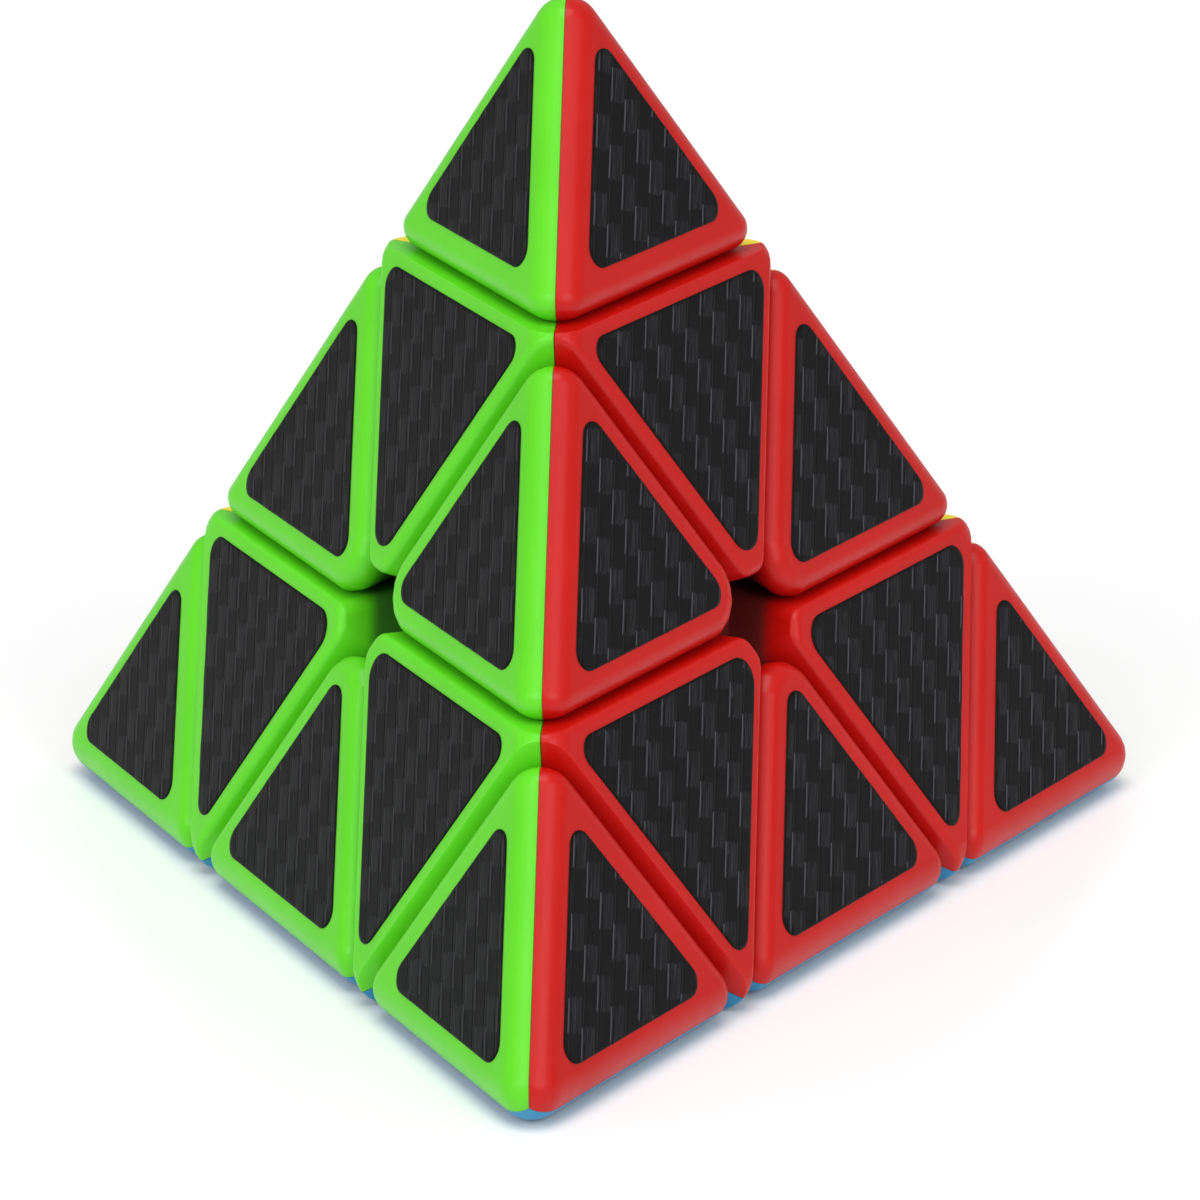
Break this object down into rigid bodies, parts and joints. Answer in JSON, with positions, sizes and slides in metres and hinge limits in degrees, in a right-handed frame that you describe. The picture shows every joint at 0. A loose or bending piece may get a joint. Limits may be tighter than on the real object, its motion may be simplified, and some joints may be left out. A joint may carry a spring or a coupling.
{
  "type": "pyramid twisty puzzle",
  "caption": "Tetrahedral twisty puzzle with coloured plastic shells and dark woven-look stickers, whose corner layers and tips turn on a spring-loaded core.",
  "frame": {"origin": "middle of the core, where the four turning axes cross", "axes": "+Z along the turning axis of the top corner; -Y to the side of the front corner; +X towards the right corner"},
  "size_m": [0.098, 0.0856, 0.0812],
  "materials": {
    "blue_shell": "satin moulded ABS",
    "yellow_shell": "satin moulded ABS",
    "green_shell": "satin moulded ABS",
    "red_shell": "satin moulded ABS, finely textured",
    "sticker_film": "embossed woven-look film",
    "hub_plastic": "moulded, low friction",
    "core_plastic": "moulded nylon",
    "steel": "zinc plated",
    "spring_steel": "bright wire"
  },
  "bodies": {
    "core": {"core_spider": "core_plastic", "core_screws": "steel", "core_washers": "steel", "core_springs": "spring_steel"},
    "tip_top": {"tip_top_yellow": "yellow_shell", "tip_top_green": "green_shell", "tip_top_red": "red_shell", "tip_top_stickers": "sticker_film"},
    "axial_top": {"axial_top_hub": "hub_plastic", "axial_top_yellow": "yellow_shell", "axial_top_green": "green_shell", "axial_top_red": "red_shell", "axial_top_stickers": "sticker_film"},
    "tip_front": {"tip_front_blue": "blue_shell", "tip_front_green": "green_shell", "tip_front_red": "red_shell", "tip_front_stickers": "sticker_film"},
    "axial_front": {"axial_front_hub": "hub_plastic", "axial_front_blue": "blue_shell", "axial_front_green": "green_shell", "axial_front_red": "red_shell", "axial_front_stickers": "sticker_film"},
    "tip_right": {"tip_right_blue": "blue_shell", "tip_right_yellow": "yellow_shell", "tip_right_red": "red_shell", "tip_right_stickers": "sticker_film"},
    "axial_right": {"axial_right_hub": "hub_plastic", "axial_right_blue": "blue_shell", "axial_right_yellow": "yellow_shell", "axial_right_red": "red_shell", "axial_right_stickers": "sticker_film"},
    "tip_left": {"tip_left_blue": "blue_shell", "tip_left_yellow": "yellow_shell", "tip_left_green": "green_shell", "tip_left_stickers": "sticker_film"},
    "axial_left": {"axial_left_hub": "hub_plastic", "axial_left_blue": "blue_shell", "axial_left_yellow": "yellow_shell", "axial_left_green": "green_shell", "axial_left_stickers": "sticker_film"},
    "edge_top_front": {"edge_top_front_green": "green_shell", "edge_top_front_red": "red_shell", "edge_top_front_stickers": "sticker_film"},
    "edge_top_right": {"edge_top_right_yellow": "yellow_shell", "edge_top_right_red": "red_shell", "edge_top_right_stickers": "sticker_film"},
    "edge_top_left": {"edge_top_left_yellow": "yellow_shell", "edge_top_left_green": "green_shell", "edge_top_left_stickers": "sticker_film"},
    "edge_front_right": {"edge_front_right_blue": "blue_shell", "edge_front_right_red": "red_shell", "edge_front_right_stickers": "sticker_film"},
    "edge_front_left": {"edge_front_left_blue": "blue_shell", "edge_front_left_green": "green_shell", "edge_front_left_stickers": "sticker_film"},
    "edge_left_right": {"edge_left_right_blue": "blue_shell", "edge_left_right_yellow": "yellow_shell", "edge_left_right_stickers": "sticker_film"}
  },
  "joints": [
    {"name": "layer_top", "type": "hinge", "parent": "core", "child": "axial_top", "pos_m": [0, 0, 0], "axis": [0, 0, 1], "continuous": true},
    {"name": "layer_front", "type": "hinge", "parent": "core", "child": "axial_front", "pos_m": [0, 0, 0], "axis": [0, -0.9428, -0.3333], "range_deg": [-360, 360]},
    {"name": "layer_right", "type": "hinge", "parent": "core", "child": "axial_right", "pos_m": [0, 0, 0], "axis": [0.8165, 0.4714, -0.3333], "range_deg": [-360, 360]},
    {"name": "layer_left", "type": "hinge", "parent": "core", "child": "axial_left", "pos_m": [0, 0, 0], "axis": [-0.8165, 0.4714, -0.3333], "range_deg": [-360, 360]},
    {"name": "tip_top_turn", "type": "hinge", "parent": "axial_top", "child": "tip_top", "pos_m": [0, 0, 0], "axis": [0, 0, 1], "continuous": true},
    {"name": "tip_front_turn", "type": "hinge", "parent": "axial_front", "child": "tip_front", "pos_m": [0, 0, 0], "axis": [0, -0.9428, -0.3333], "continuous": true},
    {"name": "tip_right_turn", "type": "hinge", "parent": "axial_right", "child": "tip_right", "pos_m": [0, 0, 0], "axis": [0.8165, 0.4714, -0.3333], "continuous": true},
    {"name": "tip_left_turn", "type": "hinge", "parent": "axial_left", "child": "tip_left", "pos_m": [0, 0, 0], "axis": [-0.8165, 0.4714, -0.3333], "continuous": true},
    {"name": "edge_top_left_turn", "type": "hinge", "parent": "axial_top", "child": "edge_top_left", "pos_m": [0, 0, 0], "axis": [-0.8165, 0.4714, -0.3333], "range_deg": [-360, 360]},
    {"name": "edge_top_front_turn", "type": "hinge", "parent": "axial_top", "child": "edge_top_front", "pos_m": [0, 0, 0], "axis": [0, -0.9428, -0.3333], "range_deg": [-360, 360]},
    {"name": "edge_top_right_turn", "type": "hinge", "parent": "axial_top", "child": "edge_top_right", "pos_m": [0, 0, 0], "axis": [0.8165, 0.4714, -0.3333], "range_deg": [-360, 360]},
    {"name": "edge_front_left_turn", "type": "hinge", "parent": "axial_left", "child": "edge_front_left", "pos_m": [0, 0, 0], "axis": [0, -0.9428, -0.3333], "range_deg": [-360, 360]},
    {"name": "edge_front_right_turn", "type": "hinge", "parent": "axial_front", "child": "edge_front_right", "pos_m": [0, 0, 0], "axis": [0.8165, 0.4714, -0.3333], "range_deg": [-360, 360]},
    {"name": "edge_left_right_turn", "type": "hinge", "parent": "axial_right", "child": "edge_left_right", "pos_m": [0, 0, 0], "axis": [-0.8165, 0.4714, -0.3333], "range_deg": [-360, 360]}
  ],
  "couplings": [
    {"joint": "edge_top_left_turn", "follows": "layer_left", "ratio": 1},
    {"joint": "edge_top_front_turn", "follows": "layer_front", "ratio": 1},
    {"joint": "edge_top_right_turn", "follows": "layer_right", "ratio": 1},
    {"joint": "edge_front_left_turn", "follows": "layer_front", "ratio": 1},
    {"joint": "edge_front_right_turn", "follows": "layer_right", "ratio": 1},
    {"joint": "edge_left_right_turn", "follows": "layer_left", "ratio": 1}
  ]
}
